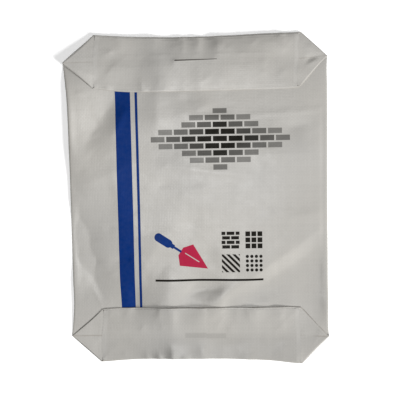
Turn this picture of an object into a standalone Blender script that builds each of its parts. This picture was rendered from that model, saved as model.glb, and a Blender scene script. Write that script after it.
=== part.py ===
"""Empty block-bottom valve sack for cement, lying flat with its printed front up.

The sack is one flat tube of woven polypropylene. At each end the tube is opened into a hexagon: its
front layer is turned back, its corners open into triangular pockets, and two long flaps are folded
over each other along the middle. A patch of the same fabric closes the flaps, and a valve sleeve lies
inside one corner of the top end. Every layer is a thin slab that follows the layers under it, and a
narrow strip joins two layers wherever the fabric is folded over.

Units are metres. +Z is up, +Y points to the top end, and the origin is on the floor under the middle.
"""

import bmesh
import bpy
import numpy as np

WIDTH = 0.400  # the tube, laid flat
HINGE_SPAN = 0.426  # from the middle line of one end to that of the other
END_DEPTH = 0.082  # a folded end, from its inner to its outer edge
CORNER_RUN = 0.043  # how far a corner's point stands out past the end's shoulders
FLAP_OVERLAP = 0.020  # how far the two flaps of an end lie over each other
EDGE_BOW = 0.0055  # how far the middle of an outer edge is drawn in

PATCH_LENGTH = 0.312
PATCH_DEPTH = 0.076
VALVE_LENGTH = 0.070
VALVE_DEPTH = 0.060

FABRIC = 0.0003  # thickness of one layer
CLEARANCE = 0.0003  # between two layers that aren't joined
FOLD_INSET = 0.00005  # a folding strip stays this far inside the edge that it joins
FRONT_RISE = 0.0024  # how far the front stands above the back in the middle of the sack
EDGE_LIFT = 0.0020  # how far an end's inner edge springs up

HALF_WIDTH = WIDTH / 2
HINGE = HINGE_SPAN / 2
HALF_DEPTH = END_DEPTH / 2
SHOULDER = HALF_WIDTH - CORNER_RUN
LAP = FLAP_OVERLAP / 2
POCKET_EDGE = SHOULDER - HALF_DEPTH - LAP  # where the cut edge of a corner pocket lies
PITCH = FABRIC + CLEARANCE
NEST = FABRIC + CLEARANCE  # a fold inside another one ends this far short of it

# Where the slabs are divided, so that they bend along with each other
X_LINES = sorted(
    {s * x for s in (-1, 1) for x in (0, POCKET_EDGE / 3, POCKET_EDGE / 1.5, POCKET_EDGE, SHOULDER)}
)
END_LINES = (-HALF_DEPTH, -2 * LAP, -LAP, 0, LAP, 2 * LAP, HALF_DEPTH)
BODY_LINES = np.linspace(-1, 1, 9) * (HINGE - HALF_DEPTH)
Y_LINES = sorted({s * (HINGE + y) for s in (-1, 1) for y in END_LINES} | set(BODY_LINES))

# The level of each layer of an end: across is the distance from its middle line, outward positive
BACK = ((0, 0),)
FRONT = ((0, 1),)
TURNED_FRONT = ((0, 2),)
POCKET = ((0, 3), (LAP, 1))
VALVE = ((0, 4), (LAP, 2))
OUTER_TUCK = ((0, 4), (LAP, 2))
OUTER_FLAP = ((0, 5), (LAP, 3))
INNER_TUCK = ((-2 * LAP, 4), (-LAP, 6), (0, 6), (LAP, 4))
INNER_FLAP = ((-2 * LAP, 5), (-LAP, 7), (0, 7), (LAP, 5))
PATCH = ((-2 * LAP, 6), (-LAP, 8), (0, 8), (LAP, 6), (2 * LAP, 4))


def clear_scene():
    for obj in list(bpy.data.objects):
        bpy.data.objects.remove(obj)


def collection(name, hidden=False):
    made = bpy.data.collections.new(name)
    made.hide_render = hidden
    bpy.context.scene.collection.children.link(made)
    return made


def fabric_material(name, colour, roughness):
    material = bpy.data.materials.new(name)
    material.use_nodes = True
    shader = material.node_tree.nodes["Principled BSDF"]
    shader.inputs["Base Color"].default_value = (*colour, 1)
    shader.inputs["Roughness"].default_value = roughness
    shader.inputs["Metallic"].default_value = 0
    return material


def front_rise(x, y):
    """How far the front's slack lifts every layer above it, nothing at the side folds and the hinge lines."""
    if abs(x) >= HALF_WIDTH or abs(y) >= HINGE:
        return 0.0
    return FRONT_RISE * (1 - (x / HALF_WIDTH) ** 4) * (1 - (y / HINGE) ** 4)


def edge_lift(across):
    """How far the turned-back half of an end springs up, most at its inner edge."""
    return EDGE_LIFT * min(max(-across / HALF_DEPTH, 0), 1) ** 2


def height(x, y, levels, extra=0):
    """The underside of a layer at a point. extra is the number of layers that the valve adds under it."""
    across = abs(y) - HINGE
    stacked = PITCH * (np.interp(across, *zip(*levels)) + extra)
    if levels is BACK:
        return stacked
    lift = 0 if levels is FRONT else edge_lift(across)
    return stacked + front_rise(x, y) + lift


def bowed(x, y):
    """The point's Y after the outer edge's middle has been drawn in."""
    out = max((abs(y) - HINGE) / HALF_DEPTH, 0)
    drawn = EDGE_BOW * out * max(1 - (x / SHOULDER) ** 2, 0)
    return y - np.copysign(drawn, y)


def slab(name, outline, under, over, group):
    """A solid on a flat outline, whose underside and top follow the heights that under and over give."""
    bm = bmesh.new()
    bm.faces.new([bm.verts.new((x, y, 0)) for x, y in outline])
    for lines, normal in ((X_LINES, (1, 0, 0)), (Y_LINES, (0, 1, 0))):
        for at in lines:
            parts = bm.verts[:] + bm.edges[:] + bm.faces[:]
            place = tuple(at * n for n in normal)
            bmesh.ops.bisect_plane(bm, geom=parts, dist=1e-7, plane_co=place, plane_no=normal)
    lower = list(bm.verts)
    raised = bmesh.ops.extrude_face_region(bm, geom=bm.faces[:])["geom"]
    upper = [v for v in raised if isinstance(v, bmesh.types.BMVert)]
    for verts, level in ((lower, under), (upper, over)):
        for v in verts:
            x, y = v.co.x, v.co.y
            v.co = (x, bowed(x, y), level(x, y))
    bmesh.ops.recalc_face_normals(bm, faces=bm.faces[:])
    mesh = bpy.data.meshes.new(name)
    bm.to_mesh(mesh)
    bm.free()
    obj = bpy.data.objects.new(name, mesh)
    group.objects.link(obj)
    return obj


def layer(name, outline, levels, group, extra=0):
    """One layer of fabric."""
    return slab(
        name,
        outline,
        lambda x, y: height(x, y, levels, extra),
        lambda x, y: height(x, y, levels, extra) + FABRIC,
        group,
    )


def fold(name, start, end, inside, lower, upper, group, extras=(0, 0)):
    """A narrow strip along the line from start to end that joins two layers, which lie on inside's side of it."""
    start, end, inside = (np.array(p, float) for p in (start, end, inside))
    along = (end - start) / np.linalg.norm(end - start)
    inward = np.array((-along[1], along[0]))
    if inward @ (inside - start) < 0:
        inward = -inward
    near, far = inward * FOLD_INSET, inward * FABRIC
    first, last = start + along * FABRIC, end - along * FABRIC
    outline = [tuple(p) for p in (first + near, last + near, last + far, first + far)]
    return slab(
        name,
        outline,
        lambda x, y: height(x, y, lower, extras[0]) + FABRIC / 3,
        lambda x, y: height(x, y, upper, extras[1]) + FABRIC / 1.5,
        group,
    )


def mirrored(points, side, end):
    """The points (x, across) of one corner, carried to the side and the end of the sack that it is on."""
    return [(side * x, end * (HINGE + across)) for x, across in points]


def folded_end(name, end, extra, group):
    """The layers and folds of one end. end is 1 at the top and -1 at the bottom."""
    middle = (0, end * HINGE)
    inner, outer = -HALF_DEPTH, HALF_DEPTH
    inner_nest, outer_nest = inner + NEST, outer - NEST

    turned = [(HALF_WIDTH, 0), (SHOULDER, inner), (-SHOULDER, inner), (-HALF_WIDTH, 0)]
    outer_flap = [(SHOULDER, outer), (POCKET_EDGE, -LAP), (-POCKET_EDGE, -LAP), (-SHOULDER, outer)]
    inner_flap = [(SHOULDER, inner), (POCKET_EDGE, LAP), (-POCKET_EDGE, LAP), (-SHOULDER, inner)]
    layer(name + "_turned_front", mirrored(turned, 1, end), TURNED_FRONT, group)
    layer(name + "_outer_flap", mirrored(outer_flap, 1, end), OUTER_FLAP, group, extra)
    layer(name + "_inner_flap", mirrored(inner_flap, 1, end), INNER_FLAP, group, extra)

    hinge = mirrored([(-HALF_WIDTH, 0), (HALF_WIDTH, 0)], 1, end)
    outer_edge = mirrored([(-SHOULDER, outer), (SHOULDER, outer)], 1, end)
    inner_edge = mirrored([(-SHOULDER, inner), (SHOULDER, inner)], 1, end)
    fold(name + "_hinge", *hinge, (0, 0), FRONT, TURNED_FRONT, group)
    fold(name + "_outer_edge", *outer_edge, middle, BACK, OUTER_FLAP, group, (0, extra))
    fold(name + "_inner_edge", *inner_edge, middle, TURNED_FRONT, INNER_FLAP, group, (0, extra))

    for side in (-1, 1):
        corner = f"{name}_{'left' if side < 0 else 'right'}"

        def at(*points):
            return mirrored(points, side, end)

        nested = SHOULDER + NEST * CORNER_RUN / HALF_DEPTH
        pocket = at(
            (HALF_WIDTH, 0),
            (nested, outer_nest),
            (POCKET_EDGE, outer_nest),
            (POCKET_EDGE, inner_nest),
            (nested, inner_nest),
        )
        outer_tuck = at((SHOULDER - NEST, outer_nest), (POCKET_EDGE, -LAP), (POCKET_EDGE, outer_nest))
        inner_tuck = at((SHOULDER - NEST, inner_nest), (POCKET_EDGE, LAP), (POCKET_EDGE, inner_nest))
        layer(corner + "_pocket", pocket, POCKET, group)
        layer(corner + "_outer_tuck", outer_tuck, OUTER_TUCK, group, extra)
        layer(corner + "_inner_tuck", inner_tuck, INNER_TUCK, group, extra)

        point, pocket_middle = at((HALF_WIDTH, 0), (SHOULDER, 0))
        outer_shoulder, inner_shoulder = at((SHOULDER, outer), (SHOULDER, inner))
        fold(corner + "_outer_slope", point, outer_shoulder, pocket_middle, BACK, POCKET, group)
        fold(corner + "_inner_slope", point, inner_shoulder, pocket_middle, TURNED_FRONT, POCKET, group)
        for edge, tuck, flap, lap in (
            (outer_nest, OUTER_TUCK, OUTER_FLAP, -LAP),
            (inner_nest, INNER_TUCK, INNER_FLAP, LAP),
        ):
            part = "outer" if edge > 0 else "inner"
            pocket_rim = at((POCKET_EDGE, edge), (SHOULDER, edge))
            diagonal = at((SHOULDER - NEST, edge), (POCKET_EDGE, lap))
            fold(f"{corner}_{part}_rim", *pocket_rim, pocket_middle, POCKET, tuck, group, (0, extra))
            inside = at((POCKET_EDGE, edge))[0]
            fold(f"{corner}_{part}_diagonal", *diagonal, inside, tuck, flap, group, (extra, extra))


def woven_tube(parts, folds, material):
    """The tube: its back, its front, the side folds and both folded ends, united into one piece."""
    end_edge = HINGE + HALF_DEPTH
    right_half = [(SHOULDER, -end_edge), (HALF_WIDTH, -HINGE), (HALF_WIDTH, HINGE), (SHOULDER, end_edge)]
    back = right_half + [(-x, y) for x, y in reversed(right_half)]
    front = [(HALF_WIDTH, -HINGE), (HALF_WIDTH, HINGE), (-HALF_WIDTH, HINGE), (-HALF_WIDTH, -HINGE)]
    tube = layer("woven_tube", back, BACK, parts)
    layer("front", front, FRONT, folds)
    for side, name in ((-1, "left_side"), (1, "right_side")):
        edge = [(side * HALF_WIDTH, -HINGE), (side * HALF_WIDTH, HINGE)]
        fold(name, *edge, (0, 0), BACK, FRONT, folds)
    folded_end("top", 1, 1, folds)
    folded_end("bottom", -1, 0, folds)
    for obj in folds.objects:
        obj.display_type = "WIRE"
        obj.hide_render = True
    union = tube.modifiers.new("folds", "BOOLEAN")
    union.operation = "UNION"
    union.operand_type = "COLLECTION"
    union.collection = folds
    union.solver = "EXACT"
    tube.data.materials.append(material)
    return tube


def cover_patch(name, end, extra, parts, material):
    """The strip of fabric over an end's flaps."""
    x, y = PATCH_LENGTH / 2, PATCH_DEPTH / 2
    corners = mirrored([(x, y), (-x, y), (-x, -y), (x, -y)], 1, end)
    patch = layer(name, corners, PATCH, parts, extra)
    patch.data.materials.append(material)
    return patch


def valve_sleeve(parts, material):
    """The sheet inside the top end's right corner, from the shoulder to past the pocket's cut edge."""
    outer, inner = SHOULDER - 2 * NEST, SHOULDER - 2 * NEST - VALVE_LENGTH
    y = VALVE_DEPTH / 2
    corners = mirrored([(outer, y), (inner, y), (inner, -y), (outer, -y)], 1, 1)
    sleeve = layer("valve_sleeve", corners, VALVE, parts)
    sleeve.data.materials.append(material)
    return sleeve


def main():
    clear_scene()
    parts = collection("cement_bag")
    folds = collection("tube_folds", hidden=True)
    white = fabric_material("white_woven_fabric", (0.55, 0.54, 0.51), 0.5)
    patch_white = fabric_material("white_patch_fabric", (0.56, 0.55, 0.52), 0.45)
    valve_white = fabric_material("white_valve_sheet", (0.60, 0.60, 0.58), 0.4)
    woven_tube(parts, folds, white)
    cover_patch("top_cover_patch", 1, 1, parts, patch_white)
    cover_patch("bottom_cover_patch", -1, 0, parts, patch_white)
    valve_sleeve(parts, valve_white)


main()
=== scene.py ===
"""The looks of an empty block-bottom valve sack of laminated woven polypropylene, lying flat.

The tube is one sheet, folded by the same pattern as the real sack: each point of the unrolled tube is
sent to its place in the folded ends, layer on layer. Everything is in metres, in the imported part's frame.
"""

import math

import bpy
import numpy as np
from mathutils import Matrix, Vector
from mathutils.bvhtree import BVHTree


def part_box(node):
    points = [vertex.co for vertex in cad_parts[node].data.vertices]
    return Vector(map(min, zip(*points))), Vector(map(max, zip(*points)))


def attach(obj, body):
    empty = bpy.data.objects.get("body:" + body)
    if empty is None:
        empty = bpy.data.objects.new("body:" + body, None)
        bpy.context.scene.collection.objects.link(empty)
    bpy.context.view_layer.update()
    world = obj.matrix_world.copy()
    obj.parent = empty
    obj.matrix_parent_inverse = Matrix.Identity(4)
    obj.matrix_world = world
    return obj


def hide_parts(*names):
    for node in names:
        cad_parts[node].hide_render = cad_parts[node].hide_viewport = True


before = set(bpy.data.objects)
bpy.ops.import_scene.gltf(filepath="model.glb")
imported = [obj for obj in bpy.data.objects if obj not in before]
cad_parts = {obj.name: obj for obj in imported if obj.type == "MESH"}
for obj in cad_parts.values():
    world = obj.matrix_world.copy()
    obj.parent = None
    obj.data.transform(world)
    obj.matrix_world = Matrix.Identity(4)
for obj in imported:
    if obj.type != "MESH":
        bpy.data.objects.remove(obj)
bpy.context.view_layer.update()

MM = 0.001

# The folding pattern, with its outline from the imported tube
tube_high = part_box("woven_tube")[1]
HALF_WIDTH = tube_high.x
HALF_LENGTH = tube_high.y
HALF_DEPTH = 41 * MM
HINGE = HALF_LENGTH - HALF_DEPTH
LAP = 10 * MM
FOLD_REACH = 2 * HALF_DEPTH + LAP
SHOULDER = HALF_WIDTH - HALF_DEPTH
PATCH_SIZE = (312 * MM, 76 * MM)
VALVE_SIZE = (70 * MM, 60 * MM)
VALVE_CENTRE = 120.8 * MM

# The layers' pitch in the folded ends, and the thickness of the fabric
PITCH = 0.15 * MM
FABRIC = 0.15 * MM

# How far the front wall stands off the back wall at the side folds and in the middle
SIDE_PUFF = 2.4 * MM
FRONT_RISE = 6.0 * MM

# How far the back wall stands off the floor, and the least that its creases leave
BACK_RISE = 0.3 * MM
LEAST_RISE = 0.03 * MM

# The roundness of the side folds and of the ends' edges
SIDE_RADIUS = 2.4 * MM
EDGE_RADIUS = 1.3 * MM

# How much thicker a folded end is at its outer edge, and how far outside the hinge line that is reached
EDGE_PUFF = 0.3 * MM
PUFF_RUN = 15 * MM

# The height at which the layers of a fold meet, as a share of their lift, and how much lower that is at the
# inner edge of the flaps
MEETING = 0.8
MEETING_DROP = 0.5

# The front wall's creases: a factor on their heights, and how far from the side folds they run out
RELIEF = 1.35
RELIEF_MARGIN = 14 * MM

# In the folded ends: how far from the right side the lift reaches its full height, and from both sides the
# inner edge's lift
LIFT_RUN = 130 * MM
UNDER_RUN = 50 * MM

# The ridge that the tube's side fold leaves in the corners: its height and width, the x at which it starts,
# and how far it takes to reach its full height
FOLD_RIDGE = 0.2 * MM
FOLD_RIDGE_WIDTH = 1.8 * MM
RIDGE_START = 90 * MM
RIDGE_RUN = 80 * MM

# The width over which a flap's end goes over into the corner, and how far the layers of a corner lie inside
# one another
FLAP_BLEND = 28 * MM
NEST_INSET = 0.985

# The pulls in the plane: how far the ends' outer and inner edges are bowed, the reach of the inner bow, how
# far the shoulders and the waist are drawn in, and the reach of a pulled corner in millimetres
EDGE_BOW = 5.5 * MM
INNER_BOW = 6.0 * MM
INNER_BOW_REACH = 25 * MM
SHOULDER_PULL = 2.0 * MM
WAIST = 1.4 * MM
CORNER_REACH = 38

# A cover patch: the width of its rim that is pressed down, and of the rim that lies close without a drape;
# its gap over the flaps at the rim and in the middle; and its thickness at the rim, as a share of FABRIC
PRESS_RIM = 16 * MM
CLOSE_RIM = 5 * MM
RIM_GAP = 0.02 * MM
MIDDLE_GAP = 0.10 * MM
RIM_THICKNESS = 0.25

# The valve sleeve: its thickness, and its level over the pocket, in layers
VALVE_FABRIC = 0.04 * MM
VALVE_LEVEL = 0.75

# Finishes: linear colours, the width of the woven tapes and of the painted fold shade, and the film's gloss
TAPE = 2.5 * MM
CLOTH_COOL = (0.380, 0.371, 0.353)
CLOTH_WARM = (0.395, 0.380, 0.351)
# the painted shade in the weave's hollows, between the tapes
TAPE_GAP_SHADE = (0.20, 0.19, 0.17)
# a brown painted shade along the tube's folds, and how far beside a fold it reaches
FOLD_SHADE = (0.16, 0.125, 0.095)
FOLD_SHADE_WIDTH = 1.6 * MM
CLOTH_GLOSS = 0.5
INK_BLUE = (0.001, 0.023, 0.14)
INK_CRIMSON = (0.35, 0.013, 0.047)
INK_BLACK = (0.007, 0.006, 0.004)
# the patches' welded ends, also the painted highlight on the slit's lip; then the painted shade in the slit
WELD_WHITE_AND_LIP_HIGHLIGHT = (0.52, 0.51, 0.49)
SLIT_SHADE = (0.035, 0.030, 0.025)

# The print is on the front wall only, and stops under the folded ends
PRINT_REACH = 195 * MM

# Its motifs, in millimetres on the front wall: each stripe's centre and half width, and the places and sizes
# of the others. The trowel's turn is in degrees.
STRIPES = ((-113, 12), (-92, 2))
LOZENGE_CENTRE = (36, 94)
LOZENGE_REACH = (112, 52)
BRICK_SIZE = (24, 10.8)
BRICK_JOINT = 2.6
TROWEL_PLACE = (-26, -80)
TROWEL_TURN = -33
SWATCH_COLUMNS = (50, 86)
SWATCH_ROWS = (-62, -98)
SWATCH_HALF = 14
SWATCH_STEP = 7
SWATCH_LINE = 1.9
DOT_RADIUS = 2.5
BAR_CENTRE = (16, -124)
BAR_HALF = (84, 1.7)

# How far from the patches' middle the paler bands at their ends start
WELD_START = 149.5 * MM

# The camera: its place, its turns about x, y and z in degrees, and its angle of view in degrees
CAMERA_PLACE = (0.0501, 0.0704, 0.9784)
CAMERA_TURNS = (-4.157, 2.664, -1.034)
CAMERA_ANGLE = 35

# Each light's azimuth and elevation in degrees, distance, size and power, and the strength of the white sky
KEY_LIGHT = (-32, 20, 12.0, 2.6, 2290)
TOP_LIGHT = (-156, 87.6, 1.15, 0.3, 6.5)
SKY_LIGHT = 0.20

# The floor gives off a little light, as a light table does, so that it stays white beside the sack
FLOOR_SIZE = 14
FLOOR_WHITE = (0.97, 0.97, 0.97)
FLOOR_GLOW = 0.12

# The grids: steps across a fold's flap, the step between the folds and on the patches, the points along and
# across the valve sleeve, and how far beside a crease its two layers are looked up
FOLD_STEPS = 24
BODY_STEP = 3.3 * MM
PATCH_STEP = 1.6 * MM
VALVE_POINTS = (24, 20)
NUDGE = 1e-6

# How often a patch is smoothed as it drapes, and a height above everything that the flaps are looked up from
DRAPE_PASSES = 56
ABOVE_ALL = 0.1

# The angle in degrees above which a sheet's edge stays sharp
SHARP_ANGLE = 50


def smooth(t):
    t = np.clip(t, 0, 1)
    return t * t * (3 - 2 * t)


def rounded(distance, radius):
    """The share of a fold's half thickness at this distance from its edge: a quarter circle."""
    t = np.clip(1 - distance / radius, 0, 1)
    return np.sqrt(1 - t * t)


class Crease:
    """A ridge, or with a negative height a groove, along an arc from start to end, in millimetres.

    width is how far it reaches on the left of that line and far_width on its right. bend is how far the
    arc's middle lies to the left of its chord. A crest of 1 is sharp and of 2 is soft. fade is the share of
    the length over which each end runs out.
    """

    def __init__(self, start, end, width, height, far_width=None, bend=0.0, crest=1.5, fade=0.35):
        self.start = start
        self.length = math.hypot(end[0] - start[0], end[1] - start[1])
        self.direction = ((end[0] - start[0]) / self.length, (end[1] - start[1]) / self.length)
        self.width = width
        self.far_width = far_width or width
        self.height = height
        self.bend = bend
        self.crest = crest
        self.fade = fade

    def at(self, x, y):
        dx, dy = self.direction
        px = x / MM - self.start[0]
        py = y / MM - self.start[1]
        along = (px * dx + py * dy) / self.length
        window = smooth(along / self.fade) * smooth((1 - along) / self.fade)
        off = py * dx - px * dy - self.bend * 4 * along * (1 - along)
        reach = np.where(off > 0, self.width, self.far_width)
        return self.height * MM * window * np.exp(-np.abs(off / reach) ** self.crest)


def crumple(seed, count, half_length, width, height, low, high, lean=0.0, spread=2.0):
    """Creases in random places inside the box from low to high, in millimetres. height is the spread of
    their heights. They run at random angles about lean, in radians."""
    draw = np.random.default_rng(seed)
    creases = []
    for _ in range(count):
        cx, cy = draw.uniform(low, high)
        angle = draw.normal(lean, spread)
        half = draw.uniform(*half_length)
        dx, dy = half * math.cos(angle), half * math.sin(angle)
        creases.append(
            Crease(
                (cx - dx, cy - dy),
                (cx + dx, cy + dy),
                width=draw.uniform(*width),
                far_width=draw.uniform(*width),
                height=draw.normal(0, height),
                bend=draw.uniform(-0.15, 0.15) * half,
                fade=0.5,
            )
        )
    return creases


def relief(creases, x, y):
    """The height that the creases add together at each point."""
    total = np.zeros(np.shape(x))
    for crease in creases:
        reach = crease.length / 2 + 3 * max(crease.width, crease.far_width)
        cx = crease.start[0] + crease.direction[0] * crease.length / 2
        cy = crease.start[1] + crease.direction[1] * crease.length / 2
        near = (np.abs(x / MM - cx) < reach) & (np.abs(y / MM - cy) < reach)
        total[near] += crease.at(x[near], y[near])
    return total


FRONT_CREASES = [
    # the deep hollow in the upper left, and the crest to its right
    Crease((-104, 198), (-191, 65), 24, -3.6, 36, 3, fade=0.4),
    Crease((-104, 150), (-134, 92), 7, 0.8, 10),
    # the left edge
    Crease((-200, 18), (-92, 60), 22, 0.9, 18, crest=1.3),
    Crease((-188, 10), (-146, -172), 40, -3.3, 18, -11, 1.35),
    # the broad rise across the middle, with two thin crests on it
    Crease((-120, 52), (150, 38), 50, 2.0, 50, crest=2, fade=0.45),
    Crease((-44, 67), (88, 65), 14, 0.7, 4, crest=1.2),
    Crease((-66, 58), (96, 36), 16, 1.2, 5, -3, 1.2),
    Crease((-30, 12), (60, 26), 8, 0.8, 12),
    # upper middle
    Crease((-40, 126), (36, 152), 26, 2.0, 20, crest=1.5),
    Crease((-60, 88), (-58, 204), 26, 2.8, 36, crest=1.4),
    Crease((-22, 172), (2, 126), 6, -0.9, 10),
    # the right edge
    Crease((60, 126), (208, 137), 7, 0.5, 3, crest=1.2, fade=0.25),
    Crease((76, 66), (214, 71), 52, 2.7, 45, crest=1.25, fade=0.42),
    Crease((171, -66), (174, -208), 24, -2.0, 30, crest=2, fade=0.35),
    Crease((193, 160), (193, -100), 2.2, -0.5, fade=0.15),
    # the long ridge above the lower right corner
    Crease((214, -26), (22, -158), 14, 2.3, 44, 3, 1.3, 0.35),
    Crease((200, -62), (56, -164), 36, -2.0, 16, 3, 1.6, 0.3),
    Crease((70, -114), (2, -184), 15, 1.9, 16, 3),
    Crease((40, -130), (30, -192), 9, 1.6, 28, fade=0.4),
    # thin upright creases in the middle
    Crease((-8, 172), (-10, -70), 1.6, 0.12, 3, crest=1.2),
    Crease((-22, 60), (-24, -80), 1.6, 0.1, 3, crest=1.2),
    Crease((12, 30), (11, -60), 1.6, 0.08, 3, crest=1.2),
    # the folds that come out from under the bottom end
    Crease((-39, -86), (-54, -200), 42, 3.2, 30, fade=0.38),
    Crease((13, -104), (-42, -188), 32, -2.1, 16, fade=0.4),
    Crease((-104, -118), (-100, -196), 16, -1.6, 8, fade=0.4),
    Crease((-140, -182), (190, -182), 42, 2.7, crest=2, fade=0.3),
    Crease((-110, -187), (190, -187), 24, 1.6, crest=2, fade=0.2),
    Crease((-36, -186), (50, -186), 20, 1.5, crest=2, fade=0.4),
]
FRONT_CREASES += crumple(17, 34, (24, 64), (8, 18), 0.55, (-180, -170), (180, 170), 0.3, 0.4)
FRONT_CREASES += crumple(12, 190, (7, 28), (2.2, 7), 0.16, (-192, -190), (192, 190), 0.4, 0.8)

# These raise or lower the side folds too: up beside the hollow, down beside the long groove below it, and up
# above the lower right corner
EDGE_CREASES = [
    Crease((-195, 250), (-195, 20), 40, 3.0, 14, fade=0.34),
    Crease((-200, 14), (-200, -130), 14, -2.3, fade=0.35),
    Crease((200, -130), (200, -236), 17, 3.0, fade=0.4),
]

BACK_CREASES = [
    Crease((-150, -60), (120, -110), 26, 1.1, 20, 12),
    Crease((-90, 150), (140, 60), 22, 1.0, 14, -10),
    Crease((-134, 62), (-120, -50), 16, 0.8, 10, 3),
    Crease((160, 10), (40, 180), 14, 0.7, 18, 6),
    Crease((-60, 10), (60, -20), 18, 0.6, 12, 4),
]
BACK_CREASES += crumple(23, 110, (8, 34), (3, 9), 0.16, (-195, -245), (195, 245))


def back_rise(x, y):
    """How far the back wall stands off the floor."""
    return np.maximum(BACK_RISE + relief(BACK_CREASES, x, y), LEAST_RISE)


def wall_gap(x, y):
    """The height of the front wall over the back wall, away from the side folds: flat in the middle, lower
    towards them, and nothing at the hinge lines, where the ends are folded over."""
    inside = smooth((HALF_WIDTH - np.abs(x)) / RELIEF_MARGIN)
    rise = SIDE_PUFF + (FRONT_RISE - SIDE_PUFF) * (1 - (x / HALF_WIDTH) ** 4)
    rise += RELIEF * relief(FRONT_CREASES, x, y) * inside + relief(EDGE_CREASES, x, y)
    ends = 1 - np.clip(np.abs(y) / HINGE, 0, 1) ** 8
    return PITCH + np.maximum(rise * ends, 0)


class End:
    """One folded end. sign is the side of the middle that it is on, and across is measured outward from its
    hinge line. valve_room is the room for the valve sleeve, in layers.

    The layers above the lowest one stand up along the hinge line like a tent of this height. From the left
    they do so by the share ledge only, and reach their full height between the two x of tent_foot. curl is
    how far the outer edge curls up and inner_lift how far the inner edge stands off the front wall. creases
    are on the layers above the lowest one, and loose ones lift the inner edge."""

    def __init__(self, sign, valve_room, tent, tent_foot, ledge, curl, inner_lift, creases, loose):
        self.sign = sign
        self.valve_room = valve_room
        self.tent = tent
        self.tent_foot = tent_foot
        self.ledge = ledge
        self.curl = curl
        self.inner_lift = inner_lift
        self.creases = creases
        self.loose = loose

    def under(self, x, across):
        """The lift of the whole stack off the front wall, at its inner edge."""
        lift = self.inner_lift + relief(self.loose, x, self.sign * (HINGE + across))
        return lift * smooth(-across / HALF_DEPTH) ** 1.5 * smooth((HALF_WIDTH - np.abs(x)) / UNDER_RUN)

    def lift(self, x, across):
        """The lift of the layers above the lowest one: a tent along the hinge line, a curl at the outer
        edge, the creases, and the ridge that the tube's side fold leaves in the corners."""
        foot, top = self.tent_foot
        left = self.ledge + (1 - self.ledge) * smooth((x - foot) / (top - foot))
        inward = np.where(x < 0, left, smooth((HALF_WIDTH - x) / LIFT_RUN))
        depth = np.abs(across) / HALF_DEPTH
        lift = self.tent * (1 - depth**1.5) * inward
        lift += self.curl * np.clip(across / HALF_DEPTH, 0, 1) ** 2 * inward
        ridge = FOLD_RIDGE * np.exp(-np.abs(across) / FOLD_RIDGE_WIDTH)
        lift += ridge * smooth((np.abs(x) - RIDGE_START) / RIDGE_RUN)
        lift += PITCH + relief(self.creases, x, self.sign * (HINGE + across))
        return np.maximum(lift, 0)


def gathers(edge, spots):
    """The short folds that run in from y = edge. Each spot is the x of its crest, the reach of its left
    and right flank, its height, the y at which it has run out, and how far it slants."""
    creases = []
    for x, left, right, height, stop, slant in spots:
        if stop < edge:
            left, right = right, left
        creases.append(Crease((x, edge), (x + slant, stop), left, height, right, crest=1.6, fade=0.6))
    return creases


TOP = End(
    sign=1,
    valve_room=0.5,
    tent=7.5 * MM,
    tent_foot=(-92 * MM, -48 * MM),
    ledge=0.45,
    curl=0.5 * MM,
    inner_lift=0.1 * MM,
    creases=gathers(
        285,
        [
            (-120, 10, 14, 1.0, 214, 5),
            (-60, 50, 14, 3.6, 216, -6),
            (-20, 13, 7, 2.8, 206, 3),
            (6, 14, 7, 3.0, 200, -4),
            (33, 12, 34, 3.6, 196, 5),
            (72, 5, 5, 0.8, 226, 6),
            (114, 42, 60, 3.4, 202, -5),
            (130, 7, 5, 1.2, 216, 3),
        ],
    )
    + gathers(
        142,
        [
            (-84, 10, 8, 0.9, 212, 4),
            (-43, 20, 7, 1.9, 208, -5),
            (-18, 8, 5, 0.7, 204, 2),
            (8, 8, 10, 0.8, 214, -3),
            (36, 44, 14, 2.6, 214, 4),
            (88, 14, 10, 0.8, 198, -4),
        ],
    )
    + [
        # the lip of the slit
        Crease((-38, 213), (36, 215), 1.2, 1.1, 7, crest=1.2, fade=0.12),
        # the left corner, with its outer half raised
        Crease((-196, 210), (-150, 186), 5, 0.8, 9),
        Crease((-200, 184), (-200, 300), 80, 3.8, fade=0.3),
        # the right corner and the slanting folds beside it
        Crease((108, 254), (150, 212), 3, 0.7, 7),
        Crease((122, 256), (154, 224), 2, 0.6, 4),
        Crease((146, 162), (160, 206), 26, 1.2, 12),
        Crease((166, 238), (194, 212), 4, 0.8, 7),
        Crease((164, 200), (190, 212), 4, 0.6, 5),
    ]
    + crumple(44, 90, (6, 24), (2.4, 7), 0.34, (-190, 172), (190, 254), 1.57, 0.7),
    loose=[Crease((84, 160), (150, 190), 16, 0.7)],
)
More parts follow.
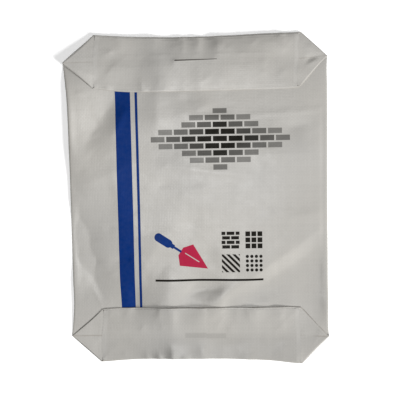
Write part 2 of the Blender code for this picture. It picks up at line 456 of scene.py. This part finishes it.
BOTTOM = End(
    sign=-1,
    valve_room=0.0,
    tent=1.0 * MM,
    tent_foot=(-102 * MM, -22 * MM),
    ledge=0.0,
    curl=6.0 * MM,
    inner_lift=0.15 * MM,
    creases=gathers(
        -285,
        [
            (-86, 9, 5, 1.4, -224, 3),
            (-64, 9, 5, 2.4, -228, -2),
            (-45, 9, 7, 3.4, -212, 4),
            (-25, 8, 6, 1.7, -224, 1),
            (6, 14, 10, 3.0, -202, -5),
            (30, 6, 5, 1.0, -230, 2),
            (76, 18, 12, 3.3, -208, 4),
            (100, 5, 6, 0.9, -222, -2),
            (148, 40, 10, 2.2, -216, 3),
        ],
    )
    + gathers(
        -142,
        [
            (-62, 6, 8, 0.9, -212, 4),
            (-40, 12, 7, 1.9, -226, -4),
            (6, 14, 26, 1.9, -216, -4),
            (60, 8, 8, 0.9, -204, -3),
            (84, 12, 9, 1.2, -214, 4),
        ],
    )
    + [
        # the broad fold across the whole end
        Crease((-42, -282), (-40, -142), 46, 2.0, 70, crest=1.7, fade=0.2),
        # the right corner, with the edges of the pocket under the flaps
        Crease((112, -250), (140, -222), 4, 0.6, 6),
        Crease((112, -211), (162, -166), 1.4, 0.35, fade=0.2),
        Crease((112, -215), (162, -260), 1.4, 0.3, fade=0.2),
        Crease((115, -294), (235, -180), 44, 3.2, crest=2, fade=0.3),
        Crease((200, -170), (200, -256), 16, 1.6, fade=0.3),
    ]
    + crumple(47, 90, (6, 24), (2.4, 7), 0.42, (-190, -254), (190, -172), 1.57, 0.7),
    loose=[
        Crease((56, -172), (112, -172), 14, 1.7, fade=0.5),
        Crease((98, -172), (146, -172), 14, 1.8, fade=0.5),
    ],
)


# How far the corners of the folds lie from a true sack's, in millimetres: their x and y, and the shift in
# x and y
CORNER_SHIFTS = [
    (-200, 213, -4.3, 0.0),
    (200, 213, -0.7, 2.9),
    (-200, -213, -3.8, -0.2),
    (200, -213, 0.3, -1.4),
    (-157, 254, 2.1, 0.9),
    (157, 254, 2.9, -2.2),
    (-157, 172, -0.1, 2.0),
    (157, 172, -1.5, -3.1),
    (-157, -172, 5.4, 2.8),
    (157, -172, -0.8, 4.0),
    (-157, -254, -0.6, -0.8),
    (157, -254, 1.4, -2.9),
]


def nudged(x, y):
    """The corners pulled off their true places, each with the fabric around it."""
    new_x, new_y = x.copy(), y.copy()
    for cx, cy, dx, dy in CORNER_SHIFTS:
        share = np.exp(-((x / MM - cx) ** 2 + (y / MM - cy) ** 2) / CORNER_REACH**2)
        new_x += dx * MM * share
        new_y += dy * MM * share
    return new_x, new_y


def shifted(x, y):
    """The small pulls in the plane: the ends' bowed outer and inner edges, their drawn-in shoulders, and a
    waist between the ends."""
    side = np.sign(x)
    end = np.sign(y)
    across = np.abs(y) - HINGE
    depth = np.clip(np.abs(across) / HALF_DEPTH, 0, 1)
    off_middle = np.clip(x / SHOULDER, -1, 1)
    new_y = y - end * EDGE_BOW * np.clip(across / HALF_DEPTH, 0, 1) * (1 - off_middle**2)
    near_inner = np.exp(-((across + HALF_DEPTH) / INNER_BOW_REACH) ** 2)
    new_y = new_y - end * INNER_BOW * near_inner * (1 - off_middle**4)
    pull = SHOULDER_PULL * np.where(across > -HALF_DEPTH, depth, 0) * np.clip(np.abs(x) / SHOULDER, 0, 1)
    in_end = smooth((across + HALF_DEPTH) / HALF_DEPTH)
    new_x = x - side * pull * np.where(across > 0, 1, in_end)
    new_x = new_x - x / HALF_WIDTH * WAIST * (1 - np.clip(np.abs(y) / HINGE, 0, 1) ** 2)
    return nudged(new_x, new_y)


def stack_height(end, x, across, level):
    """The height of a layer of a folded end. Level 0 is the lowest layer, 1 lies on it, and so on up. The
    layers of a fold meet at its edge, part of the way up between them."""
    y = end.sign * (HINGE + across)
    diagonal = (HALF_WIDTH - np.abs(x) - np.abs(across)) / math.sqrt(2)
    edge = np.minimum(HALF_DEPTH - np.abs(across), diagonal)
    share = rounded(np.maximum(edge, 0), EDGE_RADIUS)
    flap = smooth((SHOULDER + FLAP_BLEND / 2 - np.abs(x)) / FLAP_BLEND)
    inner = across < 0
    base = np.where(inner, 2, 0)
    top = np.where(inner, 3, 1) + (2 + end.valve_room) * flap
    t = (level - base) / (top - base)
    puff = EDGE_PUFF * smooth(across / PUFF_RUN)
    thickness = (top - base) * PITCH + puff
    lifted = np.clip(level - base, 0, 1)
    meet = np.where(inner, MEETING - MEETING_DROP * flap, MEETING)
    z = thickness * (0.5 + (t - 0.5) * share) + end.lift(x, across) * (meet + (lifted - meet) * share)
    ground = back_rise(x, y)
    wall = wall_gap(x, y) * (0.5 + 0.5 * rounded(HALF_WIDTH - np.abs(x), SIDE_RADIUS))
    return ground + z + np.where(inner, wall + PITCH + end.under(x, across), 0)


def wall_height(x, y, back):
    """The height of the front or back wall between the hinge lines."""
    share = rounded(HALF_WIDTH - np.abs(x), SIDE_RADIUS)
    half = np.where(back, -0.5, 0.5)
    return back_rise(x, y) + wall_gap(x, y) * (0.5 + half * share)


def folded(end, x, v, back):
    """Where a point past the hinge line goes when the end is folded: its x, how far across, and its level.

    The points beyond the hexagon's diagonals go into the two pockets, and the others onto the flaps. The
    levels change over the lap beside the hinge line, where one flap ends on the other."""
    side = np.sign(x)
    reach = np.abs(x)
    past = np.abs(v) - HINGE
    pocket = reach > HALF_WIDTH - past
    turned_back = past > HALF_DEPTH
    tucked = pocket & (reach < SHOULDER)
    new_x = np.where(pocket, side * (HALF_WIDTH - past), x)
    flat = np.where(turned_back, past - 2 * HALF_DEPTH, -past)
    corner = np.where(tucked, SHOULDER - HALF_DEPTH - reach, reach - HALF_WIDTH)
    across = np.where(pocket, corner, flat)
    across = np.where(back, -across, across)
    inset = np.where(pocket, NEST_INSET, 1)

    pocket_level = np.interp(across, [0, LAP], [3, 1])
    outer_level = np.interp(across, [0, LAP], [4, 2]) + end.valve_room
    inner_level = np.interp(across, [-2 * LAP, -LAP, 0, LAP], [4, 6, 6, 4]) + end.valve_room
    tuck_level = np.where(back, outer_level, inner_level)
    lowest = np.where(back, 0, 2)
    in_pocket = np.where(tucked, tuck_level, pocket_level)
    on_flap = np.where(turned_back, tuck_level + 1, lowest)
    return new_x, across * inset, np.where(pocket, in_pocket, on_flap)


def tube_point(x, v, back):
    """The folded place of a point of the tube. x runs across the flat tube and v along it."""
    over = np.abs(x) > HALF_WIDTH
    x = np.where(over, 2 * HALF_WIDTH * np.sign(x) - x, x)
    back = back ^ over
    place = np.stack([x, v, wall_height(x, v, back)], -1)
    for end in (TOP, BOTTOM):
        here = v * end.sign > HINGE
        new_x, across, level = folded(end, x[here], v[here], back[here])
        place[here, 0] = new_x
        place[here, 1] = end.sign * (HINGE + across)
        place[here, 2] = stack_height(end, new_x, across, level)
    place[..., 0], place[..., 1] = shifted(place[..., 0], place[..., 1])
    return place


def creased(x, v, back):
    """tube_point, with the points of a crease halfway between the layers that meet there."""
    total = 0
    for dx in (-NUDGE, NUDGE):
        for dv in (-NUDGE, NUDGE):
            total = total + tube_point(x + dx, v + dv, back)
    return total / 4


def eased(start, stop, count):
    """Steps from start to stop that crowd together at both ends, where the fabric is creased."""
    t = np.linspace(0, np.pi, count + 1)
    return start + (stop - start) * (1 - np.cos(t)) / 2


def grid_lines():
    """The lines of the tube's grid across and along, and how many of them are in a margin. Both ways use the
    same margins, so that the corner creases, which run at 45 degrees, pass through its points."""
    outer = eased(0, HALF_DEPTH, FOLD_STEPS)
    margin = np.concatenate([outer, eased(HALF_DEPTH, FOLD_REACH, FOLD_STEPS)[1:]])
    middle = HALF_WIDTH - FOLD_REACH
    inner_x = np.linspace(-middle, middle, round(2 * middle / BODY_STEP) + 1)[1:-1]
    inner_v = np.linspace(-HINGE, HINGE, round(2 * HINGE / BODY_STEP) + 1)[1:-1]
    xs = np.concatenate([margin - HALF_WIDTH, inner_x, HALF_WIDTH - margin[::-1]])
    vs = np.concatenate([-HINGE - margin[::-1], inner_v, HINGE + margin])
    return xs, vs, len(margin)


def tube_faces(columns, rows, margin):
    """Quads of the two walls, split at 45 degrees in the corners, and whether each face is on the back."""
    front = np.arange(rows * columns).reshape(rows, columns)
    inner = rows * columns + np.arange(rows * (columns - 2)).reshape(rows, columns - 2)
    rear = np.hstack([front[:, :1], inner, front[:, -1:]])
    faces = []
    on_back = []
    for back, grid in ((False, front), (True, rear)):
        for i in range(rows - 1):
            row = min(i, rows - 2 - i)
            for j in range(columns - 1):
                a, b, c, d = grid[i, j], grid[i, j + 1], grid[i + 1, j + 1], grid[i + 1, j]
                column = min(j, columns - 2 - j)
                if max(row, column) < margin - 1:
                    same_way = (i < rows / 2) == (j < columns / 2)
                    pair = [(a, b, d), (b, c, d)] if same_way else [(a, b, c), (a, c, d)]
                else:
                    pair = [(a, b, c, d)]
                for face in pair:
                    faces.append(face[::-1] if back else face)
                    on_back.append(back)
    return faces, on_back


def new_piece(name, places, faces, material):
    """A smooth mesh that rides on the one body, from its points and faces."""
    mesh = bpy.data.meshes.new(name)
    mesh.from_pydata([tuple(p) for p in places], [], [tuple(int(i) for i in f) for f in faces])
    mesh.validate()
    mesh.shade_smooth()
    mesh.materials.append(material)
    piece = bpy.data.objects.new(name, mesh)
    bpy.context.scene.collection.objects.link(piece)
    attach(piece, "root")
    return piece


def bake_place(u, v):
    """The tube's layout on the baked image: the front wall gets most of the width, and the hidden flaps get
    little."""
    across = np.interp(u, [-HALF_WIDTH, HALF_WIDTH, 3 * HALF_WIDTH], [0.002, 0.66, 0.998])
    reach = HINGE + FOLD_REACH
    return across, np.interp(v, [-reach, -HALF_LENGTH, HALF_LENGTH, reach], [0.002, 0.04, 0.96, 0.998])


def make_tube(material):
    """The whole tube as one folded sheet, with its place on the unrolled cloth as a UV map in metres."""
    xs, vs, margin = grid_lines()
    grid_x, grid_v = np.meshgrid(xs, vs)
    front = creased(grid_x.ravel(), grid_v.ravel(), np.zeros(grid_x.size, bool))
    rear_x = grid_x[:, 1:-1].ravel()
    rear_v = grid_v[:, 1:-1].ravel()
    rear = creased(rear_x, rear_v, np.ones(rear_x.size, bool))
    faces, on_back = tube_faces(len(xs), len(vs), margin)
    piece = new_piece("tube_cloth", np.vstack([front, rear]), faces, material)

    flat_x = np.concatenate([grid_x.ravel(), rear_x])
    flat_v = np.concatenate([grid_v.ravel(), rear_v])
    mesh = piece.data
    corner = np.empty(len(mesh.loops), np.int32)
    mesh.loops.foreach_get("vertex_index", corner)
    size = np.array([len(f) for f in faces])
    behind = np.repeat(on_back, size)
    u = np.where(behind, 2 * HALF_WIDTH - flat_x[corner], flat_x[corner])
    v = flat_v[corner]
    unrolled = mesh.uv_layers.new(name="Unrolled")
    unrolled.uv.foreach_set("vector", np.stack([u, v], -1).astype(np.float32).ravel())
    baked = mesh.uv_layers.new(name="OFBake")
    baked.uv.foreach_set("vector", np.stack(bake_place(u, v), -1).astype(np.float32).ravel())
    return piece


class Field:
    """A number that varies over a surface: an output of a material's node tree, with arithmetic."""

    def __init__(self, tree, socket):
        self.tree = tree
        self.socket = socket

    def math(self, operation, *others, clamp=False):
        node = self.tree.nodes.new("ShaderNodeMath")
        node.operation = operation
        node.use_clamp = clamp
        for slot, value in zip(node.inputs, (self, *others)):
            if isinstance(value, Field):
                self.tree.links.new(value.socket, slot)
            else:
                slot.default_value = value
        return Field(self.tree, node.outputs[0])

    def __add__(self, other):
        return self.math("ADD", other)

    def __sub__(self, other):
        return self.math("SUBTRACT", other)

    def __mul__(self, other):
        return self.math("MULTIPLY", other)

    def __truediv__(self, other):
        return self.math("DIVIDE", other)

    def __abs__(self):
        return self.math("ABSOLUTE")

    def lower(self, other):
        return self.math("MINIMUM", other)

    def higher(self, other):
        return self.math("MAXIMUM", other)

    def floor(self):
        return self.math("FLOOR")

    def wrapped(self, period):
        """The remainder after whole periods, also for negative numbers."""
        return self.math("FLOORED_MODULO", period)

    def ink(self, edge=0.3 * MM):
        """1 where this distance is below zero and 0 where it is above, with a soft edge."""
        return (self * (-1 / edge)).math("ADD", 0.5, clamp=True)


def unrolled(tree):
    """The place on the unrolled cloth, in metres."""
    node = tree.nodes.new("ShaderNodeUVMap")
    node.uv_map = "Unrolled"
    split = tree.nodes.new("ShaderNodeSeparateXYZ")
    tree.links.new(node.outputs[0], split.inputs[0])
    return Field(tree, split.outputs[0]), Field(tree, split.outputs[1])


def box(u, v, centre, half):
    """The distance outside a rectangle, in metres; its place and half size are in millimetres."""
    across = abs(u - centre[0] * MM) - half[0] * MM
    along = abs(v - centre[1] * MM) - half[1] * MM
    return across.higher(along)


def turned(u, v, centre, degrees):
    """u and v measured from a centre, in millimetres, along axes turned by this angle."""
    c, s = math.cos(math.radians(degrees)), math.sin(math.radians(degrees))
    u = u - centre[0] * MM
    v = v - centre[1] * MM
    return u * c + v * s, v * c - u * s


def noise(tree, scale, detail, low, high):
    """Noise in metres of the object's own space, mapped to run from about low to high."""
    place = tree.nodes.new("ShaderNodeTexCoord")
    texture = tree.nodes.new("ShaderNodeTexNoise")
    texture.inputs["Scale"].default_value = scale
    texture.inputs["Detail"].default_value = detail
    tree.links.new(place.outputs["Object"], texture.inputs["Vector"])
    spread = tree.nodes.new("ShaderNodeMapRange")
    spread.inputs["From Min"].default_value = 0.3
    spread.inputs["From Max"].default_value = 0.7
    spread.inputs["To Min"].default_value = low
    spread.inputs["To Max"].default_value = high
    tree.links.new(texture.outputs[0], spread.inputs[0])
    return Field(tree, spread.outputs[0])


def mixed(tree, share, below, above):
    """A colour that goes from below to above as share goes from 0 to 1. Either is a triple or a socket."""
    node = tree.nodes.new("ShaderNodeMix")
    node.data_type = "RGBA"
    tree.links.new(share.socket, node.inputs[0])
    for slot, colour in ((node.inputs[6], below), (node.inputs[7], above)):
        if isinstance(colour, bpy.types.NodeSocket):
            tree.links.new(colour, slot)
        else:
            slot.default_value = (*colour, 1)
    return node.outputs[2]


def scaled(tree, colour, factor):
    """A colour multiplied by a number that varies."""
    node = tree.nodes.new("ShaderNodeVectorMath")
    node.operation = "SCALE"
    tree.links.new(colour, node.inputs[0])
    tree.links.new(factor.socket, node.inputs["Scale"])
    return node.outputs[0]


def tape_tone(index, seed):
    """A random number from 0 to 1 for each tape."""
    node = index.tree.nodes.new("ShaderNodeTexWhiteNoise")
    node.noise_dimensions = "1D"
    index.tree.links.new((index + seed).socket, node.inputs["W"])
    return Field(index.tree, node.outputs[0])


def weave(u, v):
    """Plain weave of flat tapes: its surface's height, from 0 to 1, and the tone of the tape on top. Each
    tape has a random tone, and the tapes that run along v are a little lighter: a painted sheen.
    """
    column = u / TAPE
    row = v / TAPE
    over = (column.floor() + row.floor()).wrapped(2)
    bow_u = (column * math.pi).math("SINE")
    bow_v = (row * math.pi).math("SINE")
    round_u = abs(bow_u).math("POWER", 0.35)
    round_v = abs(bow_v).math("POWER", 0.35)
    under = over * -1 + 1
    height = over * round_u * (abs(bow_v) * 0.4 + 0.6) + under * round_v * (abs(bow_u) * 0.4 + 0.6)
    # the tapes along v get 0.6 more than those across: a painted sheen; the rest is each tape's random tone
    tone_and_sheen = over * (tape_tone(column.floor(), 0.3) + 0.6) + under * tape_tone(row.floor(), 0.7)
    return height, tone_and_sheen


def fold_distance(u, v):
    """How far a point of the tube is from the nearest fold that shows: a side, an end's edge or a corner
    crease."""
    reach = (u + HALF_WIDTH).wrapped(2 * HALF_WIDTH) - HALF_WIDTH
    side = abs(abs(reach) - HALF_WIDTH)
    past = abs(v) - HINGE
    edge = abs(past - HALF_DEPTH).higher(abs(reach) - SHOULDER)
    corner = abs(abs(reach) + past - HALF_WIDTH) * math.sqrt(0.5)
    return side.lower(edge).lower(corner)


def woven_material(name, inks=None, folds=False, shade=1.0):
    """Laminated white woven polypropylene. inks adds the print, and folds adds a brown painted shade along
    the tube's folds, more of it towards the bottom end. shade makes the cloth darker."""
    material = bpy.data.materials.new(name)
    material.use_nodes = True
    tree = material.node_tree
    shader = tree.nodes["Principled BSDF"]
    u, v = unrolled(tree)
    height, tape = weave(u, v)

    # tape carries the painted sheen of the tapes along v, as well as their random tone
    tone_and_sheen = noise(tree, 14, 3, 0.975 * shade, 1.025 * shade) * (tape * 0.045 + 0.965)
    cloth = scaled(tree, mixed(tree, noise(tree, 5, 2, 0, 1), CLOTH_COOL, CLOTH_WARM), tone_and_sheen)
    # painted shade: the cloth is darker where the weave is lower, between the tapes
    cloth = mixed(tree, (height * -1 + 1) * 0.10, cloth, TAPE_GAP_SHADE)
    rough = noise(tree, 60, 4, 0.37, 0.47)
    if folds:
        # painted shade along the folds: strongest at a fold, and stronger towards the bottom end
        near = (fold_distance(u, v) * (-1 / FOLD_SHADE_WIDTH)).math("ADD", 1, clamp=True)
        cloth = mixed(tree, near * noise(tree, 22, 3, 0.0, 0.7) * (v * -1.0 + 0.7), cloth, FOLD_SHADE)
    if inks:
        wear = noise(tree, 160, 3, 0.985, 1.0)
        gloss = Field(tree, tree.nodes.new("ShaderNodeValue").outputs[0])
        gloss.socket.default_value = CLOTH_GLOSS
        for mask, colour in inks(u, v):
            cloth = mixed(tree, mask * wear, cloth, colour)
            gloss = gloss - gloss * mask * 0.92
        tree.links.new(gloss.socket, shader.inputs["Specular IOR Level"])
    tree.links.new(cloth, shader.inputs["Base Color"])
    tree.links.new(rough.socket, shader.inputs["Roughness"])
    shader.inputs["Specular IOR Level"].default_value = CLOTH_GLOSS

    crinkle = noise(tree, 190, 5, 0, 1)
    bump = tree.nodes.new("ShaderNodeBump")
    bump.inputs["Distance"].default_value = 0.12 * MM
    bump.inputs["Strength"].default_value = 0.55
    tree.links.new((height + crinkle * 0.9).socket, bump.inputs["Height"])
    tree.links.new(bump.outputs[0], shader.inputs["Normal"])
    return material


def stripe_inks(u, v):
    """A wide and a narrow blue stripe, straight down the left side."""
    beyond = abs(v) - PRINT_REACH
    for centre, half_width in STRIPES:
        yield (abs(u - centre * MM) - half_width * MM).higher(beyond).ink(), INK_BLUE


def brick_inks(u, v):
    """A lozenge of bricks in running bond, black in the middle and paler brick by brick outwards."""
    u = u - LOZENGE_CENTRE[0] * MM
    v = v - LOZENGE_CENTRE[1] * MM
    width = BRICK_SIZE[0] * MM
    height = BRICK_SIZE[1] * MM
    joint = BRICK_JOINT * MM
    row = (v / height + 0.5).floor()
    shift = row.wrapped(2) * (width / 2)
    column = ((u + shift) / width + 0.5).floor()
    centre_u = column * width - shift
    centre_v = row * height
    far = abs(centre_u) / (LOZENGE_REACH[0] * MM) + abs(centre_v) / (LOZENGE_REACH[1] * MM)
    brick = (abs(u - centre_u) - (width - joint) / 2).higher(abs(v - centre_v) - (height - joint) / 2)
    shape = brick.higher(far * 0.1 - 0.1)
    share = (far * -0.7 + 1.27).math("MINIMUM", 1)
    yield shape.ink() * share, INK_BLACK


def trowel_inks(u, v):
    """A pointing trowel in plain outline: a crimson blade on a blue neck and handle."""
    # a runs along the trowel to the blade's tip, and b across it
    a, b = turned(u, v, TROWEL_PLACE, TROWEL_TURN)
    side = abs(b)
    blade = (side + (a - 48 * MM) * 0.5).higher(side - (a + 8 * MM) * 1.2).higher(a * -1 - 2 * MM)
    shine = (abs(b - 1.5 * MM) - 0.7 * MM).higher(abs(a - 18 * MM) - 13 * MM)
    neck = (side - 1.8 * MM).higher(abs(a + 9 * MM) - 8 * MM)
    ferrule = (side - 3.4 * MM).higher(abs(a + 17 * MM) - 2.5 * MM)
    past = (abs(a + 34 * MM) - 9 * MM).higher(0)
    grip = (past * past + b * b).math("SQRT") - 6.5 * MM
    yield blade.higher(shine * -1).ink(), INK_CRIMSON
    yield neck.lower(ferrule).lower(grip).ink(), INK_BLUE


def swatch_inks(u, v):
    """Four square samples of building patterns, two by two: bricks, tiles, hatching and dots."""
    left, right = SWATCH_COLUMNS
    upper, lower = SWATCH_ROWS
    half = SWATCH_HALF * MM
    step = SWATCH_STEP * MM
    line = SWATCH_LINE * MM

    def square(centre_u, centre_v):
        """The place from a swatch's centre, and the distance outside its square."""
        a = u - centre_u * MM
        b = v - centre_v * MM
        return a, b, abs(a).higher(abs(b)) - half

    def lines(a, period, width, start):
        """Below zero on bars with this period; the gaps between them are as wide as width."""
        return abs((a - start).wrapped(period) - period / 2) * -1 + width / 2

    a, b, edge = square(left, upper)
    shift = ((b + half) / step).floor().wrapped(2) * step
    bricks = edge.higher(lines(b, step, line, -half - step / 2))
    bricks = bricks.higher(lines(a + shift, 2 * step, line, -half - step))

    a, b, edge = square(right, upper)
    tile = 2 * half / 3
    start = -half - tile / 2
    tiles = edge.higher(lines(a, tile, line, start)).higher(lines(b, tile, line, start))

    a, b, edge = square(left, lower)
    hatch = edge.higher(lines((a + b) * math.sqrt(0.5), 6.6 * MM, 3.0 * MM, 0))

    a, b, edge = square(right, lower)
    near_a = (a + half).wrapped(step) - step / 2
    near_b = (b + half).wrapped(step) - step / 2
    dots = edge.higher((near_a * near_a + near_b * near_b).math("SQRT") - DOT_RADIUS * MM)

    bar = box(u, v, BAR_CENTRE, BAR_HALF)
    yield bricks.lower(tiles).lower(hatch).lower(dots).lower(bar).ink(), INK_BLACK


def sack_inks(u, v):
    """The whole print. It is on the front wall only, which is the first half of the unrolled width."""
    front = (u - HALF_WIDTH).ink()
    for motif in (stripe_inks, brick_inks, trowel_inks, swatch_inks):
        for mask, colour in motif(u, v):
            yield mask * front, colour


def weld_band(u, v):
    """The paler bands where the patch's ends are welded down."""
    yield (abs(u) * -1 + WELD_START).ink(1.5 * MM) * 0.16, WELD_WHITE_AND_LIP_HIGHLIGHT


def top_marks(u, v):
    """A slit along the top patch, widest on the left: painted shade in its gap, and a painted highlight on
    its raised lower lip.
    """
    yield from weld_band(u, v)
    slit = v - (u * 0.012 + 0.6 * MM)
    half = u * -0.009 + 0.75 * MM
    ends = abs(u - 1 * MM) - 32 * MM
    # a painted highlight along the slit's lower lip
    yield (abs(slit + 2.2 * MM) - 0.8 * MM).higher(ends).ink(1 * MM) * 0.1, WELD_WHITE_AND_LIP_HIGHLIGHT
    # painted shade in the slit's gap
    yield (abs(slit) - half).higher(ends).ink() * 0.9, SLIT_SHADE


def bottom_marks(u, v):
    """A faint grey bar across the middle of the bottom patch, stepped half way along."""
    yield from weld_band(u, v)
    step = (u - 10 * MM).ink(1 * MM) * -1.2 * MM
    bar = abs(v + step + 0.4 * MM) - 4.2 * MM
    yield bar.higher(abs(u - 8.5 * MM) - 32 * MM).ink(1 * MM) * 0.13, INK_BLACK


def plain_material(name, colour, roughness):
    material = bpy.data.materials.new(name)
    material.use_nodes = True
    shader = material.node_tree.nodes["Principled BSDF"]
    shader.inputs["Base Color"].default_value = (*colour, 1)
    shader.inputs["Roughness"].default_value = roughness
    return material


def sheet_piece(name, flat_u, flat_v, places, material):
    """A piece made of one rectangular grid of places, with its flat shape as its UV map."""
    rows, columns = flat_u.shape
    ids = np.arange(rows * columns).reshape(rows, columns)
    faces = np.stack([ids[:-1, :-1], ids[:-1, 1:], ids[1:, 1:], ids[1:, :-1]], -1).reshape(-1, 4)
    piece = new_piece(name, places.reshape(-1, 3), faces, material)
    flat = piece.data.uv_layers.new(name="Unrolled")
    corner = np.empty(len(piece.data.loops), np.int32)
    piece.data.loops.foreach_get("vertex_index", corner)
    uv = np.stack([flat_u.ravel()[corner], flat_v.ravel()[corner]], -1)
    flat.uv.foreach_set("vector", uv.astype(np.float32).ravel())
    solid = piece.modifiers.new("thickness", "SOLIDIFY")
    solid.offset = 1
    rim_split = piece.modifiers.new("rim", "EDGE_SPLIT")
    rim_split.split_angle = math.radians(SHARP_ANGLE)
    return piece, solid


def make_valve(material):
    """The valve sleeve: a small sheet in the top end's right corner, between the pocket and the flaps."""
    length, depth = VALVE_SIZE
    xs = np.linspace(-length / 2, length / 2, VALVE_POINTS[0])
    acrosses = np.linspace(-depth / 2, depth / 2, VALVE_POINTS[1])
    grid_x, grid_a = np.meshgrid(xs, acrosses)
    x = grid_x + VALVE_CENTRE
    level = np.interp(grid_a, [0, LAP], [3, 1]) + VALVE_LEVEL
    z = stack_height(TOP, x, grid_a, level)
    x, y = shifted(x, HINGE + grid_a)
    places = np.stack([x, y, z], -1)
    piece, solid = sheet_piece("valve_cloth", grid_x, grid_a, places, material)
    solid.thickness = VALVE_FABRIC
    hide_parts("valve_sleeve")


def bridged(z):
    """The heights of a grid with the grooves filled that are one or two points wide."""
    for pick in (np.max, np.min):
        padded = np.pad(z, 1, mode="edge")
        rows, columns = z.shape
        z = pick([padded[i : i + rows, j : j + columns] for i in range(3) for j in range(3)], axis=0)
    return z


def make_patch(name, node, end, tree, material):
    """A cover patch: a grid that drapes over the flaps under it, with its rim pressed down on them."""
    length, depth = PATCH_SIZE
    xs = np.linspace(-length / 2, length / 2, round(length / PATCH_STEP) + 1)
    acrosses = np.linspace(-depth / 2, depth / 2, round(depth / PATCH_STEP) + 1)
    grid_x, grid_a = np.meshgrid(xs, acrosses)
    x, y = shifted(grid_x, end.sign * (HINGE + grid_a))
    below = np.zeros(x.shape)
    for dx, dy in ((0, 0), (-1, -1), (-1, 1), (1, -1), (1, 1)):
        for index in np.ndindex(x.shape):
            start = Vector((x[index] + dx * PATCH_STEP / 2, y[index] + dy * PATCH_STEP / 2, ABOVE_ALL))
            hit = tree.ray_cast(start, Vector((0, 0, -1)))
            below[index] = max(below[index], hit[0].z)
    below = bridged(below)
    rim = np.minimum(length / 2 - np.abs(grid_x), depth / 2 - np.abs(grid_a))
    inner = smooth(rim / PRESS_RIM)
    below += RIM_GAP + (MIDDLE_GAP - RIM_GAP) * inner
    z = below.copy()
    for _ in range(DRAPE_PASSES):
        padded = np.pad(z, 1, mode="edge")
        mean = (padded[:-2, 1:-1] + padded[2:, 1:-1] + padded[1:-1, :-2] + padded[1:-1, 2:]) / 4
        z = np.maximum(0.5 * (z + mean), below)
    z = below + (z - below) * smooth(rim / CLOSE_RIM)
    if end.sign < 0:
        x, y, z, grid_x, grid_a = (a[::-1] for a in (x, y, z, grid_x, grid_a))
        inner = inner[::-1]
    place = np.stack([x, y, z], -1)
    piece, solid = sheet_piece(name, grid_x, grid_a * end.sign, place, material)
    group = piece.vertex_groups.new(name="inner")
    for index, share in enumerate(inner.ravel()):
        group.add([index], float(share), "REPLACE")
    solid.thickness = FABRIC
    solid.vertex_group = "inner"
    solid.thickness_vertex_group = RIM_THICKNESS
    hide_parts(node)


def make_camera():
    data = bpy.data.cameras.new("camera")
    data.sensor_fit = "HORIZONTAL"
    data.angle = math.radians(CAMERA_ANGLE)
    camera = bpy.data.objects.new("camera", data)
    camera.location = CAMERA_PLACE
    camera.rotation_euler = [math.radians(a) for a in CAMERA_TURNS]
    bpy.context.scene.collection.objects.link(camera)
    bpy.context.scene.camera = camera


def area_light(name, azimuth, elevation, distance, size, power):
    """A round white area light aimed at the sack. Azimuth is from +X towards +Y, in degrees."""
    data = bpy.data.lights.new(name, "AREA")
    data.shape = "DISK"
    data.size = size
    data.energy = power
    light = bpy.data.objects.new(name, data)
    a, e = math.radians(azimuth), math.radians(elevation)
    direction = Vector((math.cos(a) * math.cos(e), math.sin(a) * math.cos(e), math.sin(e)))
    light.location = direction * distance
    light.rotation_mode = "QUATERNION"
    light.rotation_quaternion = direction.to_track_quat("Z", "Y")
    bpy.context.scene.collection.objects.link(light)
    return light


def make_stage():
    world = bpy.data.worlds.new("world")
    world.use_nodes = True
    sky = world.node_tree.nodes["Background"]
    sky.inputs["Color"].default_value = (1, 1, 1, 1)
    sky.inputs["Strength"].default_value = SKY_LIGHT
    bpy.context.scene.world = world
    key = area_light("key", *KEY_LIGHT)
    key.visible_glossy = False
    area_light("top", *TOP_LIGHT)
    bpy.ops.mesh.primitive_plane_add(size=FLOOR_SIZE)
    floor = bpy.context.object
    floor.name = "floor"
    floor.data.materials.append(plain_material("floor", FLOOR_WHITE, 0.9))
    shader = floor.active_material.node_tree.nodes["Principled BSDF"]
    shader.inputs["Emission Color"].default_value = (1, 1, 1, 1)
    shader.inputs["Emission Strength"].default_value = FLOOR_GLOW
    bpy.context.scene.view_settings.view_transform = "Standard"


tube_material = woven_material("tube_fabric", sack_inks, folds=True)
top_material = woven_material("patch_fabric", top_marks, shade=0.965)
bottom_material = woven_material("patch_fabric_2", bottom_marks, shade=0.938)
valve_material = woven_material("valve_sheet")
tube = make_tube(tube_material)
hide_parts("woven_tube")
surface = BVHTree.FromObject(tube, bpy.context.evaluated_depsgraph_get())
make_patch("top_patch_cloth", "top_cover_patch", TOP, surface, top_material)
make_patch("bottom_patch_cloth", "bottom_cover_patch", BOTTOM, surface, bottom_material)
make_valve(valve_material)
make_camera()
make_stage()
